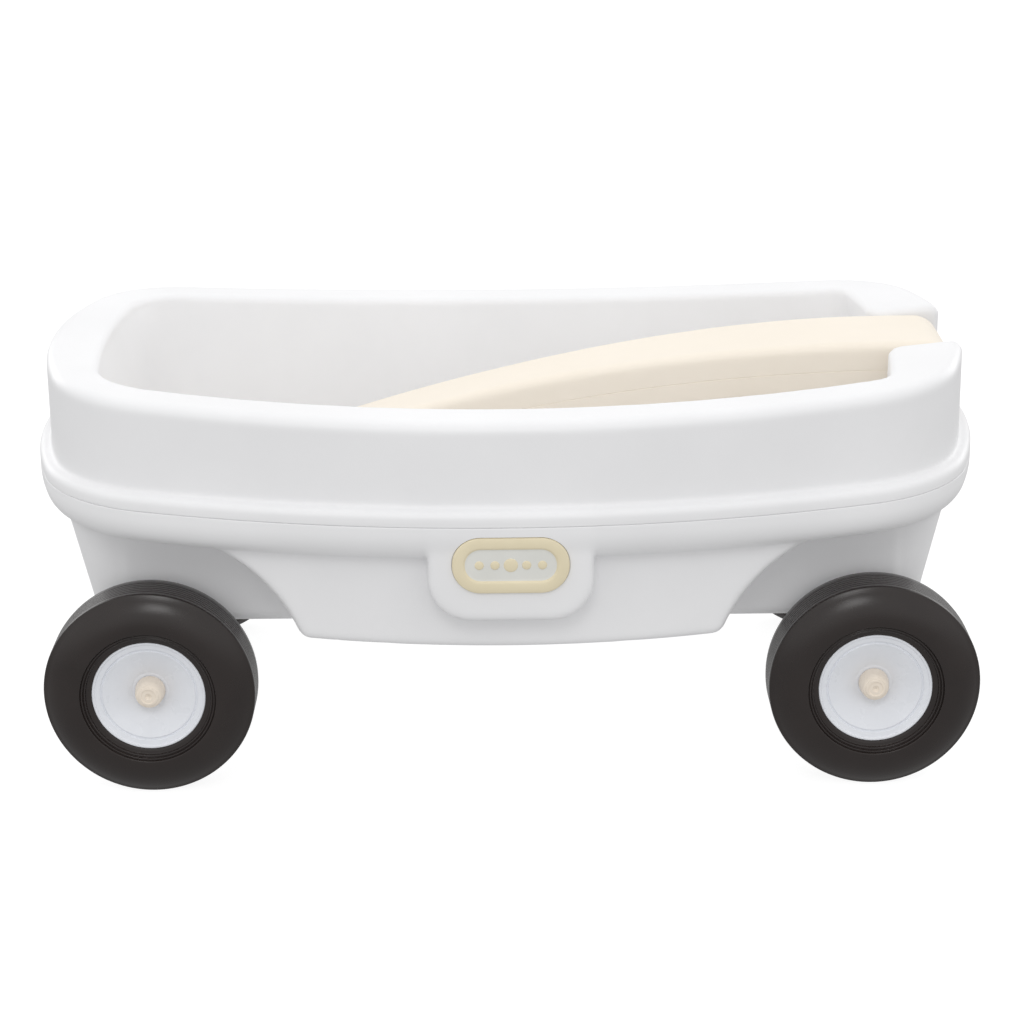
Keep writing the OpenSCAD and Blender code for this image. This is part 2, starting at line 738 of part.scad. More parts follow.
tub();
chassis();
badge_left();
badge_right();
body_screws();
front_axle();
rear_axle();
tyre_front_left();
tyre_front_right();
tyre_rear_left();
tyre_rear_right();
hub_front_left();
hub_front_right();
hub_rear_left();
hub_rear_right();
cap_front_left();
cap_front_right();
cap_rear_left();
cap_rear_right();
washer_front_left();
washer_front_right();
washer_rear_left();
washer_rear_right();
bush_front_left();
bush_front_right();
bush_rear_left();
bush_rear_right();
handle();
handle_pin();
pin_bush_left();
pin_bush_right();
pin_clip();
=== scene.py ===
"""A toddler's pull wagon: a two-part moulded body on four wheels, with a
folding pull handle that lies in the tub. Sizes are in millimetres, and a mesh
is turned into metres as it is made."""
import math

import bmesh
import bpy
import numpy as np
from mathutils import Matrix, Vector


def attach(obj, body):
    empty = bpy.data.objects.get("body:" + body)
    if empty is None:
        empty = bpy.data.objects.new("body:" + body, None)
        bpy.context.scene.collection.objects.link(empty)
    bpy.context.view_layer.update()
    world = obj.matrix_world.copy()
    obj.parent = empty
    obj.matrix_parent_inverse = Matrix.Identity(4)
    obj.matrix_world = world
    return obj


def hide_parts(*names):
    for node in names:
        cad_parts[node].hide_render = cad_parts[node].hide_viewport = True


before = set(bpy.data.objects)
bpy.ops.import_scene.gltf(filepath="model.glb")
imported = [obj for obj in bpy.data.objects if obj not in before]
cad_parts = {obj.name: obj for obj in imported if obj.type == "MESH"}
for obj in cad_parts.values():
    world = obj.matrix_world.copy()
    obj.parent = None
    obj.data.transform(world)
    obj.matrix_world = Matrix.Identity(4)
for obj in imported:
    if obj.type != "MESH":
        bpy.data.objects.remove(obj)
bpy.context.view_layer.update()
scene = bpy.context.scene
MM = 0.001

# ---------------------------------------------------------------- camera
# A long lens at a child's standing distance, a little above the rim and square
# to the wagon's right side.
camera_place = Vector((1.75, -1940.6, 806.0)) * MM
camera_yaw = math.radians(0.08)
camera_down = math.radians(18.61)
camera_roll = math.radians(-0.59)
ahead = Vector((math.sin(camera_yaw) * math.cos(camera_down),
                math.cos(camera_yaw) * math.cos(camera_down), -math.sin(camera_down)))
level_right = Vector((math.cos(camera_yaw), -math.sin(camera_yaw), 0.0))
level_up = level_right.cross(ahead)
camera_right = level_right * math.cos(camera_roll) + level_up * math.sin(camera_roll)
camera_up = level_up * math.cos(camera_roll) - level_right * math.sin(camera_roll)

camera_data = bpy.data.cameras.new("camera")
camera_data.sensor_width = 36.0
camera_data.lens = 93.43
camera_data.clip_end = 50.0
camera = bpy.data.objects.new("camera", camera_data)
camera.matrix_world = Matrix.Translation(camera_place) @ Matrix(
    (camera_right, camera_up, -ahead)).transposed().to_4x4()
scene.collection.objects.link(camera)
scene.camera = camera

# ------------------------------------------------------- floor and light
# A white studio: a pale glowing floor that is clear from below, a white tent
# that is darker low down, and four soft square lamps, one above, one in
# front and two behind. The floor lends the wagon no light of its own.
scene.view_settings.view_transform = "Standard"


def new_material(name, **sockets):
    """A Principled material with these values on the shader's own sockets."""
    made = bpy.data.materials.new(name)
    made.use_nodes = True
    shader = made.node_tree.nodes["Principled BSDF"]
    for socket, value in sockets.items():
        shader.inputs[socket.replace("_", " ")].default_value = value
    return made, made.node_tree, shader


floor_half = 20.0
floor_glow = 0.9
tent_low, tent_high = 0.57, 0.97
tent_low_z, tent_high_z = -0.15, 0.3
lamp_aim = (0, 0, 0.2)
floor_mesh = bpy.data.meshes.new("floor")
floor_mesh.from_pydata([(-floor_half, -floor_half, 0), (floor_half, -floor_half, 0),
                        (floor_half, floor_half, 0), (-floor_half, floor_half, 0)],
                       [], [(0, 1, 2, 3)])
floor = bpy.data.objects.new("floor", floor_mesh)
scene.collection.objects.link(floor)
floor_paint, floor_tree, floor_shader = new_material(
    "floor_paint", Base_Color=(0.2, 0.2, 0.2, 1), Roughness=0.9,
    Emission_Color=(1, 1, 1, 1), Emission_Strength=floor_glow)
top_side = floor_tree.nodes.new("ShaderNodeNewGeometry")
one_sided = floor_tree.nodes.new("ShaderNodeMixShader")
see_through = floor_tree.nodes.new("ShaderNodeBsdfTransparent")
floor_tree.links.new(top_side.outputs["Backfacing"], one_sided.inputs["Fac"])
floor_tree.links.new(floor_shader.outputs["BSDF"], one_sided.inputs[1])
floor_tree.links.new(see_through.outputs["BSDF"], one_sided.inputs[2])
floor_tree.links.new(one_sided.outputs["Shader"],
                     floor_tree.nodes["Material Output"].inputs["Surface"])
floor_mesh.materials.append(floor_paint)
floor.visible_diffuse = False
floor.visible_glossy = False

studio = bpy.data.worlds.new("studio")
studio.use_nodes = True
tent = studio.node_tree
way = tent.nodes.new("ShaderNodeTexCoord")
split_way = tent.nodes.new("ShaderNodeSeparateXYZ")
height = tent.nodes.new("ShaderNodeMapRange")
height.interpolation_type = "SMOOTHSTEP"
height.inputs["From Min"].default_value = tent_low_z
height.inputs["From Max"].default_value = tent_high_z
height.inputs["To Min"].default_value = tent_low
height.inputs["To Max"].default_value = tent_high
tent.links.new(way.outputs["Generated"], split_way.inputs["Vector"])
tent.links.new(split_way.outputs["Z"], height.inputs["Value"])
tent.links.new(height.outputs["Result"], tent.nodes["Background"].inputs["Strength"])
tent.nodes["Background"].inputs["Color"].default_value = (1, 1, 1, 1)
scene.world = studio


def soft_lamp(name, place, size, power):
    """A square lamp at place, in metres, that faces the wagon's middle."""
    data = bpy.data.lights.new(name, "AREA")
    data.shape = "SQUARE"
    data.size = size
    data.energy = power
    lamp = bpy.data.objects.new(name, data)
    lamp.location = place
    lamp.rotation_euler = (Vector(lamp_aim) - Vector(place)).to_track_quat("-Z", "Y").to_euler()
    scene.collection.objects.link(lamp)


soft_lamp("key_lamp", (-0.3, -0.1, 2.4), 1.6, 3.5)
soft_lamp("front_lamp", (-0.2, -2.6, 2.2), 0.85, 9)
soft_lamp("left_lamp", (-1.6, 1.5, 0.8), 1.0, 5)
soft_lamp("right_lamp", (1.7, 1.4, 0.8), 1.0, 5)

# ------------------------------------------------------------------- tub
# The upper moulding: one thin skin of white polyethylene that runs up the
# outer wall, over the broad rim and down into the tub. It sits on the chassis
# along a fine seam, and a notch in its front takes the handle.
half_len = 340.0
half_wid = 196.0
side_bow = 43.0
end_r = 380.0
corner_r = 88.0
rim_w = 40.0
back_rim_w = 45.0
front_rim_w = 57.0
rim_z = 282.5
rim_rise = 19.0
rim_fillet = 9.0
rim_inner_r = 4.5
tub_draft = 27.0
tub_front_draft = 2.0
tub_floor_z = 141.0
tub_floor_fillet = 15.0
belt_out = 9.0
belt_rise = 12.0
ledge_z = 220.8
ledge_r = 6.0
seam_z = 209.6
seam_half_gap = 0.04
lip_r = 0.7
skin_t = 3.0
notch_half = 50.0
notch_z = 241.6
notch_corner_r = 12.0
notch_floor_r = 3.5
notch_top_r = 7.0
notch_mouth_r = 11.0
notch_from_x = 200.0
rim_band = 4.0
belt_fillet = 3.0
seam_skin = 14.0
side_r = (half_len ** 2 + side_bow ** 2) / (2 * side_bow)

# Each plan outline: back reach, front reach, half width, side radius, end
# radius, back corner radius, front corner radius.
wall_plan = (half_len, half_len, half_wid, side_r, end_r, corner_r, corner_r)
tub_plan = (half_len - back_rim_w, half_len - front_rim_w, half_wid - rim_w,
            side_r - rim_w, 2 * end_r, 50.0, 16.0)
floor_plan = (tub_plan[0] - tub_draft, tub_plan[1] - tub_front_draft,
              tub_plan[2] - tub_draft, tub_plan[3] - tub_draft, 2 * end_r,
              tub_plan[5] - tub_draft / 2, 16.0)


def corner_centre(reach, wide, side, end, corner):
    """Centre of the corner arc that touches the side arc and the end arc."""
    side_y = wide - side
    end_x = reach - end
    apart = np.hypot(end_x, side_y)
    along = ((side - corner) ** 2 - (end - corner) ** 2 + apart ** 2) / (2 * apart)
    off = np.sqrt((side - corner) ** 2 - along ** 2)
    ux = end_x / apart
    uy = -side_y / apart
    return (along * ux + off * abs(uy),
            side_y + along * uy + off * abs(ux) * np.sign(-ux * uy))


def from_plan(x, y, plan):
    """Distance from a plan outline, less than nought inside it."""
    back, front, wide, side, end, back_r, front_r = plan
    reach = np.where(x < 0, back, front)
    corner = np.where(x < 0, back_r, front_r)
    x = abs(x)
    y = abs(y)
    cx, cy = corner_centre(reach, wide, side, end, corner)
    to_side = np.hypot(x, y - wide + side) - side
    to_end = np.hypot(x - reach + end, y) - end
    px = x - cx
    py = y - cy
    in_corner = (((cx - reach + end) * py - cy * px > 0)
                 & (px * (cy - wide + side) - py * cx > 0))
    return np.where(in_corner, np.hypot(px, py) - corner, np.maximum(to_side, to_end))


def cut(a, b, r):
    """What two shapes share, with the edge between them rounded by r."""
    rounded = np.hypot(np.maximum(a + r, 0), np.maximum(b + r, 0))
    return np.minimum(-r, np.maximum(a, b)) + rounded


def join(a, b, r):
    """Two shapes together, with a fillet of r where they meet."""
    return -cut(-a, -b, r)


def rise(x, amount):
    """How much higher a line along the body is here than at mid length."""
    return amount * (x / half_len) ** 2


def between(low, high, share):
    """A plan outline partway from one to the other."""
    return [a + (b - a) * share for a, b in zip(low, high)]


def ease(value, low, high):
    """Goes smoothly from 0 at low to 1 at high."""
    t = np.clip((value - low) / (high - low), 0, 1)
    return t * t * (3 - 2 * t)


def tub_field(x, y, z):
    """Less than nought inside the tub's outer shape, nought on its surface."""
    out = from_plan(x, y, wall_plan)
    wall = cut(out, z - rise(x, rim_rise) - rim_z, rim_fillet)
    belt = cut(out - belt_out, z - rise(x, belt_rise) - ledge_z, ledge_r)
    outer = join(wall, belt, belt_fillet)
    wall_foot = tub_floor_z + tub_floor_fillet
    share = np.clip((z - wall_foot) / (rim_z - rim_band - wall_foot), 0, 1.1)
    inner = from_plan(x, y, between(floor_plan, tub_plan, share)) * 0.98
    hollow = cut(inner, tub_floor_z - z, tub_floor_fillet)
    body = cut(outer, -hollow, rim_inner_r)
    mouth = np.clip((tub_plan[1] - x) / notch_mouth_r + 1, 0, 0.96)
    flare = notch_mouth_r * (1 - np.sqrt(1 - mouth ** 2))
    notch = cut(abs(y) - notch_half - flare, notch_z - z, notch_corner_r)
    notch = np.maximum(notch, notch_from_x - x)
    edge = notch_floor_r + (notch_top_r - notch_floor_r) * ease(z, notch_z + 4, notch_z + 22)
    return cut(body, -notch, edge)


def spaced(*stretches):
    """Grid lines: a start, then pairs of how far and at what step."""
    lines = [stretches[0]]
    for to, step in stretches[1:]:
        count = max(1, round(abs(to - lines[-1]) / step))
        lines += list(np.linspace(lines[-1], to, count + 1)[1:])
    return np.array(lines)


def both_ways(*stretches):
    """The same grid lines on both sides of 0."""
    lines = spaced(*stretches)
    return np.concatenate([-lines[:0:-1], lines])


def skin(field, xs, ys, zs, relax=3):
    """Corners and quads of the surface where field is 0. It finds the grid
    cells that the surface crosses, puts a corner in each, and moves the
    corners onto the surface, evening out their spacing relax times."""
    grid = field(*np.meshgrid(xs, ys, zs, indexing="ij"))
    inside = grid < 0
    count = sum(inside[i:inside.shape[0] - 1 + i, j:inside.shape[1] - 1 + j,
                       k:inside.shape[2] - 1 + k].astype(np.int8)
                for i in (0, 1) for j in (0, 1) for k in (0, 1))
    cells = np.argwhere((count > 0) & (count < 8))
    number = np.full(count.shape, -1)
    number[tuple(cells.T)] = np.arange(len(cells))
    lines = (xs, ys, zs)
    total = np.zeros((len(cells), 3))
    crossings = np.zeros((len(cells), 1))
    for axis in range(3):
        for u in (0, 1):
            for v in (0, 1):
                near = cells.copy()
                near[:, (axis + 1) % 3] += u
                near[:, (axis + 2) % 3] += v
                far = near.copy()
                far[:, axis] += 1
                f0 = grid[tuple(near.T)]
                f1 = grid[tuple(far.T)]
                crossed = (f0 < 0) != (f1 < 0)
                t = np.where(crossed, f0 / np.where(crossed, f0 - f1, 1), 0)[:, None]
                p0 = np.stack([lines[a][near[:, a]] for a in range(3)], 1)
                p1 = np.stack([lines[a][far[:, a]] for a in range(3)], 1)
                total += np.where(crossed[:, None], p0 + (p1 - p0) * t, 0)
                crossings += crossed[:, None]
    corners = total / crossings
    quads = []
    for axis in range(3):
        first = np.take(inside, range(inside.shape[axis] - 1), axis)
        after = np.take(inside, range(1, inside.shape[axis]), axis)
        edges = np.argwhere(first != after)
        b, c = (axis + 1) % 3, (axis + 2) % 3
        keep = ((edges[:, b] > 0) & (edges[:, b] < inside.shape[b] - 1)
                & (edges[:, c] > 0) & (edges[:, c] < inside.shape[c] - 1))
        edges = edges[keep]
        ring = []
        for db, dc in ((-1, -1), (0, -1), (0, 0), (-1, 0)):
            cell = edges.copy()
            cell[:, b] += db
            cell[:, c] += dc
            ring.append(number[tuple(cell.T)])
        ring = np.stack(ring, 1)
        outward = first[tuple(edges.T)]
        quads.append(np.where(outward[:, None], ring, ring[:, ::-1]))
    quads = np.concatenate(quads)

    def settle(points, rounds):
        """Moves points onto the surface, along the field's slope."""
        h = 0.05
        for _ in range(rounds):
            value = field(*points.T)
            slope = np.stack([(field(*(points + h * e).T) - field(*(points - h * e).T))
                              / (2 * h) for e in np.eye(3)], 1)
            size = np.maximum((slope ** 2).sum(1), 0.05)
            points = points - np.clip(value / size, -4, 4)[:, None] * slope
        return points

    pairs = np.concatenate([quads[:, [i, (i + 1) % 4]] for i in range(4)])
    corners = settle(corners, 3)
    for _ in range(relax):
        summed = np.zeros_like(corners)
        met = np.zeros(len(corners))
        for a, b in ((0, 1), (1, 0)):
            np.add.at(summed, pairs[:, a], corners[pairs[:, b]])
            np.add.at(met, pairs[:, a], 1)
        middle = np.where(met[:, None] > 0, summed / np.maximum(met, 1)[:, None], corners)
        corners = settle(corners + 0.5 * (middle - corners), 2)
    return corners, quads


def mesh_of(name, corners, quads):
    """A mesh in metres from corners in millimetres."""
    made = bpy.data.meshes.new(name)
    made.from_pydata((corners * MM).tolist(), [], [tuple(q) for q in quads.tolist()])
    made.validate()
    return made


def piece(name, mesh, body, material, replaces=()):
    """A smooth-shaded object that rides on a body and stands for CAD nodes."""
    made = bpy.data.objects.new(name, mesh)
    scene.collection.objects.link(made)
    mesh.materials.append(material)
    mesh.polygons.foreach_set("use_smooth", [True] * len(mesh.polygons))
    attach(made, body)
    if replaces:
        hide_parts(*replaces)
    return made


def sliced(mesh, heights, shear):
    """The mesh, lowered at each point by shear(x) and cut along level lines."""
    work = bmesh.new()
    work.from_mesh(mesh)
    for v in work.verts:
        v.co.z -= shear(v.co.x / MM) * MM
    for h in heights:
        bmesh.ops.bisect_plane(work, geom=work.verts[:] + work.edges[:] + work.faces[:],
                               plane_co=(0, 0, h * MM), plane_no=(0, 0, 1), dist=1e-7)
    return work


def unshear(work, mesh, shear):
    """Raises each point by shear(x) again and writes the mesh back."""
    for v in work.verts:
        v.co.z += shear(v.co.x / MM) * MM
    work.to_mesh(mesh)
    work.free()


def belt_shear(x):
    return rise(x, belt_rise)


def seam_edge(mesh, end_z, side, keep_from):
    """Ends a moulding at the seam, with a small round lip. side is 1 if the
    moulding lies above end_z, -1 if below. Faces whose distance from the wall
    plan is less than keep_from stay."""
    steps = [end_z + side * lip_r * s for s in (0, 0.12, 0.4, 1)]
    work = sliced(mesh, steps, belt_shear)
    gone = []
    for f in work.faces:
        c = f.calc_center_median() / MM
        if (c.z - end_z) * side < 0 and from_plan(c.x, c.y, wall_plan) > keep_from:
            gone.append(f)
    bmesh.ops.delete(work, geom=gone, context="FACES")
    for v in work.verts:
        up = (v.co.z / MM - end_z) * side
        if -0.01 < up < lip_r and from_plan(v.co.x / MM, v.co.y / MM, wall_plan) > keep_from:
            inward = lip_r - math.sqrt(max(0.0, lip_r ** 2 - (lip_r - up) ** 2))
            n = Vector((v.normal.x, v.normal.y, 0)).normalized()
            v.co -= n * inward * MM * 0.8
    unshear(work, mesh, belt_shear)


def hollow_skin(piece_object):
    """Gives an open skin its real wall, laid on the inside."""
    wall = piece_object.modifiers.new("wall", "SOLIDIFY")
    wall.thickness = skin_t * MM
    wall.offset = -1
    wall.use_even_offset = True
    wall.thickness_clamp = 0.9


# Grid steps: fine where the shape curves tightly, coarse on plain walls.
FINE = 2.8
COARSE = 6.0
rim_step, ledge_step = 2.4, 3.5
past_end = half_len + belt_out + 3.0
past_side = half_wid + belt_out + 7.0

tub_corners, tub_quads = skin(
    tub_field,
    both_ways(0, (228, COARSE), (past_end, FINE)),
    both_ways(0, (34, COARSE), (70, FINE), (112, COARSE), (past_side, FINE)),
    spaced(136, (158, FINE), (200, COARSE), (236, rim_step), (258, ledge_step),
           (308, rim_step)))
tub_mesh = mesh_of("tub_moulding", tub_corners, tub_quads)
seam_edge(tub_mesh, seam_z + seam_half_gap, 1, -seam_skin)


def plastic_grain_group():
    """Moulded plastic: a fine pebbled skin, faint cloudiness in the colour,
    and small changes in gloss."""
    group = bpy.data.node_groups.new("plastic_grain", "ShaderNodeTree")
    face = group.interface
    for label, low in (("Grain Scale", 900.0), ("Grain Depth", 0.05), ("Cloud Scale", 9.0),
                       ("Gloss Low", 0.4), ("Gloss High", 0.5)):
        face.new_socket(label, in_out="INPUT", socket_type="NodeSocketFloat").default_value = low
    for label in ("Cloud", "Roughness"):
        face.new_socket(label, in_out="OUTPUT", socket_type="NodeSocketFloat")
    face.new_socket("Normal", in_out="OUTPUT", socket_type="NodeSocketVector")
    nodes, links = group.nodes, group.links
    given = nodes.new("NodeGroupInput")
    result = nodes.new("NodeGroupOutput")
    place = nodes.new("ShaderNodeTexCoord")
    grain = nodes.new("ShaderNodeTexNoise")
    grain.inputs["Detail"].default_value = 3.0
    links.new(place.outputs["Object"], grain.inputs["Vector"])
    links.new(given.outputs["Grain Scale"], grain.inputs["Scale"])
    bump = nodes.new("ShaderNodeBump")
    bump.inputs["Distance"].default_value = 0.0006
    links.new(given.outputs["Grain Depth"], bump.inputs["Strength"])
    links.new(grain.outputs["Fac"], bump.inputs["Height"])
    links.new(bump.outputs["Normal"], result.inputs["Normal"])
    cloud = nodes.new("ShaderNodeTexNoise")
    cloud.inputs["Detail"].default_value = 4.0
    cloud.inputs["Roughness"].default_value = 0.6
    links.new(place.outputs["Object"], cloud.inputs["Vector"])
    links.new(given.outputs["Cloud Scale"], cloud.inputs["Scale"])
    spread = nodes.new("ShaderNodeMapRange")
    spread.inputs["From Min"].default_value = 0.3
    spread.inputs["From Max"].default_value = 0.7
    links.new(cloud.outputs["Fac"], spread.inputs["Value"])
    links.new(spread.outputs["Result"], result.inputs["Cloud"])
    gloss = nodes.new("ShaderNodeMapRange")
    links.new(cloud.outputs["Fac"], gloss.inputs["Value"])
    gloss.inputs["From Min"].default_value = 0.3
    gloss.inputs["From Max"].default_value = 0.7
    links.new(given.outputs["Gloss Low"], gloss.inputs["To Min"])
    links.new(given.outputs["Gloss High"], gloss.inputs["To Max"])
    links.new(gloss.outputs["Result"], result.inputs["Roughness"])
    return group


plastic_grain = plastic_grain_group()


def moulded(name, shade, tint, grain=(900.0, 0.05), cloud=9.0, gloss=(0.4, 0.5), **sockets):
    """A moulded plastic whose colour drifts between shade and tint. grain is
    its scale and depth, and gloss its least and greatest roughness."""
    made, tree, shader = new_material(name, **sockets)
    skin_node = tree.nodes.new("ShaderNodeGroup")
    skin_node.node_tree = plastic_grain
    for label, value in (("Grain Scale", grain[0]), ("Grain Depth", grain[1]),
                         ("Cloud Scale", cloud), ("Gloss Low", gloss[0]),
                         ("Gloss High", gloss[1])):
        skin_node.inputs[label].default_value = value
    mix = tree.nodes.new("ShaderNodeMix")
    mix.data_type = "RGBA"
    mix.inputs["A"].default_value = (*shade, 1)
    mix.inputs["B"].default_value = (*tint, 1)
    tree.links.new(skin_node.outputs["Cloud"], mix.inputs["Factor"])
    tree.links.new(mix.outputs["Result"], shader.inputs["Base Color"])
    tree.links.new(skin_node.outputs["Roughness"], shader.inputs["Roughness"])
    tree.links.new(skin_node.outputs["Normal"], shader.inputs["Normal"])
    return made


white_shell = moulded("white_shell", (0.85, 0.85, 0.86), (0.89, 0.89, 0.90),
                      grain=(1400.0, 0.10), cloud=7.0, gloss=(0.36, 0.44))
tub = piece("tub_moulding", tub_mesh, "body", white_shell, ["tub"])
hollow_skin(tub)

# --------------------------------------------------------------- chassis
# The lower moulding, of the same white polyethylene and screwed up into the
# tub: the belt's bottom half, a narrow box between the wheels, a bowed panel
# between the arches, a pad for each badge, and two axle housings underneath.
wheel_shift = 3.0
wheelbase = 521.0
wheel_r = 76.0
axle_xs = (wheel_shift - wheelbase / 2, wheel_shift + wheelbase / 2)
belt_low_z = 181.6
belt_under_r = 22.0
bottom_z = 112.0
core_half_w = 126.0
core_top_end = half_len - 12.0
core_end_in = 19.0
core_bottom_r = 8.0
under_belt_fillet = 11.0
belly_in = 14.0
belly_rise = 5.5
belly_edge_r = 6.0
arch_r = 118.0
pad_half = 58.0
pad_low = 139.5
pad_corner_r = 30.0
pad_face = 202.5
housing_r = 20.0
housing_end = core_half_w - 3.0
housing_fillet = 5.0
housing_edge_r = 3.5
arch_edge_r = 6.0
core_side_r = 28000.0
core_corner_r = 40.0
panel_fillet = 5.0
pad_fillet = 3.0
pad_edge_r = 4.5
pad_top_z = 205.0
belly_bow_r = ((wheelbase * 0.3) ** 2 + belly_rise ** 2) / (2 * belly_rise)


def chassis_field(x, y, z):
    """Less than nought inside the chassis, as for the tub."""
    out = from_plan(x, y, wall_plan)
    belt_z = z - rise(x, belt_rise)
    belt = cut(out - belt_out, belt_low_z - belt_z, belt_under_r)
    share = (z - bottom_z) / (belt_low_z + belt_rise - bottom_z)
    reach = core_top_end - core_end_in * (1 - np.clip(share, 0, 1.2))
    core = from_plan(x, y, (reach, reach, core_half_w, core_side_r, 2 * end_r,
                            core_corner_r, core_corner_r))
    core = cut(core, bottom_z - z, core_bottom_r)
    cup = join(belt, core, under_belt_fillet)
    arches = np.maximum(*(arch_r - np.hypot(x - a, z - wheel_r) for a in axle_xs))
    bow = np.hypot(x - wheel_shift, z - bottom_z - belly_bow_r) - belly_bow_r
    panel = cut(out + belly_in, cut(arches, bow, arch_edge_r), belly_edge_r)
    body = join(cup, panel, panel_fillet)
    pad_side = cut(abs(x - wheel_shift) - pad_half, pad_low - z, pad_corner_r)
    pad = cut(abs(y) - pad_face, pad_side, pad_edge_r)
    pad = np.maximum(pad, belt_z - pad_top_z)
    body = join(body, pad, pad_fillet)
    for a in axle_xs:
        tube = np.minimum(np.hypot(x - a, z - wheel_r) - housing_r,
                          np.maximum(abs(x - a) - housing_r, wheel_r - z))
        body = join(body, cut(tube, abs(y) - housing_end, housing_edge_r), housing_fillet)
    return body


chassis_corners, chassis_quads = skin(
    chassis_field,
    both_ways(0, (40, COARSE), (70, FINE), (136, COARSE), (past_end, FINE * 1.1)),
    both_ways(0, (105, COARSE), (past_side, FINE)),
    spaced(52, (108, FINE * 1.2), (124, FINE), (170, FINE * 1.3), (228, 2.6)))
chassis_mesh = mesh_of("chassis_moulding", chassis_corners, chassis_quads)
seam_edge(chassis_mesh, seam_z - seam_half_gap, -1, -half_len)
chassis = piece("chassis_moulding", chassis_mesh, "body", white_shell, ["chassis"])
hollow_skin(chassis)

# ---------------------------------------------------------------- badges
# A plain cream plate pressed into a pocket in the pad on each side: a raised
# border round a paler sunken panel, with a row of five low studs.
badge_len = 82.0
badge_h = 41.0
badge_z = 182.0
badge_ring = 8.6
badge_face = 205.0
badge_back = badge_face - 4.0
badge_sunk = 1.4
badge_corner_share = 0.49
stud_pitch = 11.0
stud_r, middle_stud_r = 3.2, 5.0
stud_h = 0.9
pocket_back = badge_back - 0.05
pocket_clear = 0.4


def round_bar(length, height, r, steps=14):
    """The outline of a bar with round corners, as (along, up) points."""
    points = []
    for quarter, (sx, sz) in enumerate(((1, 1), (-1, 1), (-1, -1), (1, -1))):
        for i in range(steps + 1):
            a = math.radians(90) * (quarter + i / steps)
            points.append((sx * (length / 2 - r) + r * math.cos(a),
                           sz * (height / 2 - r) + r * math.sin(a)))
    return points


def badge_loop(work, d, y):
    """A loop of corners d inside the badge's outline, at depth y."""
    ring = round_bar(badge_len - 2 * d, badge_h - 2 * d, badge_h * badge_corner_share - d)
    return [work.verts.new(((wheel_shift + u) * MM, -y * MM, (badge_z + v) * MM))
            for u, v in ring]


def bridge(work, one, other):
    """Quads between two closed loops with as many corners each."""
    for i in range(len(one)):
        j = (i + 1) % len(one)
        work.faces.new((one[i], one[j], other[j], other[i]))


def dome(work, centre, r, height, steps=28, rows=6):
    """A low closed dome that faces -Y, from its rim to its top."""
    x, y, z = centre
    rings = []
    for k in range(rows):
        a = math.radians(90) * k / rows
        rr = r * math.cos(a)
        yy = y - height * math.sin(a)
        rings.append([work.verts.new(((x + rr * math.cos(t)) * MM, yy * MM,
                                      (z + rr * math.sin(t)) * MM))
                      for t in (2 * math.pi * i / steps for i in range(steps))])
    top = work.verts.new((x * MM, (y - height) * MM, z * MM))
    foot = work.verts.new((x * MM, (y + 0.8) * MM, z * MM))
    for one, other in zip(rings, rings[1:]):
        bridge(work, one, other)
    for i in range(steps):
        j = (i + 1) % steps
        work.faces.new((rings[-1][i], rings[-1][j], top))
        work.faces.new((rings[0][j], rings[0][i], foot))


badge_cream = moulded("badge_cream", (0.80, 0.71, 0.50), (0.84, 0.75, 0.54),
                      grain=(1800.0, 0.12), cloud=40.0, gloss=(0.38, 0.46))
badge_panel = moulded("badge_panel", (0.75, 0.75, 0.71), (0.79, 0.79, 0.75),
                      grain=(1800.0, 0.12), cloud=40.0, gloss=(0.40, 0.48))
work = bmesh.new()
for side in (1, -1):
    ends = []
    for y in (pocket_back, badge_face + 12):
        ends.append(badge_loop(work, -pocket_clear, side * y))
    bridge(work, *ends)
    work.faces.new(ends[0])
    work.faces.new(ends[1][::-1])
bmesh.ops.recalc_face_normals(work, faces=work.faces[:])
pocket_mesh = bpy.data.meshes.new("badge_pockets")
work.to_mesh(pocket_mesh)
work.free()
pockets = bpy.data.objects.new("badge_pockets", pocket_mesh)
scene.collection.objects.link(pockets)
pocket_cut = chassis.modifiers.new("pockets", "BOOLEAN")
pocket_cut.operation = "DIFFERENCE"
pocket_cut.solver = "EXACT"
pocket_cut.object = pockets
bpy.context.view_layer.update()
seen = chassis.evaluated_get(bpy.context.evaluated_depsgraph_get())
pocketed = bpy.data.meshes.new_from_object(seen)
chassis.modifiers.clear()
chassis.data = pocketed
pocketed.set_sharp_from_angle(angle=math.radians(40))
bpy.data.objects.remove(pockets)

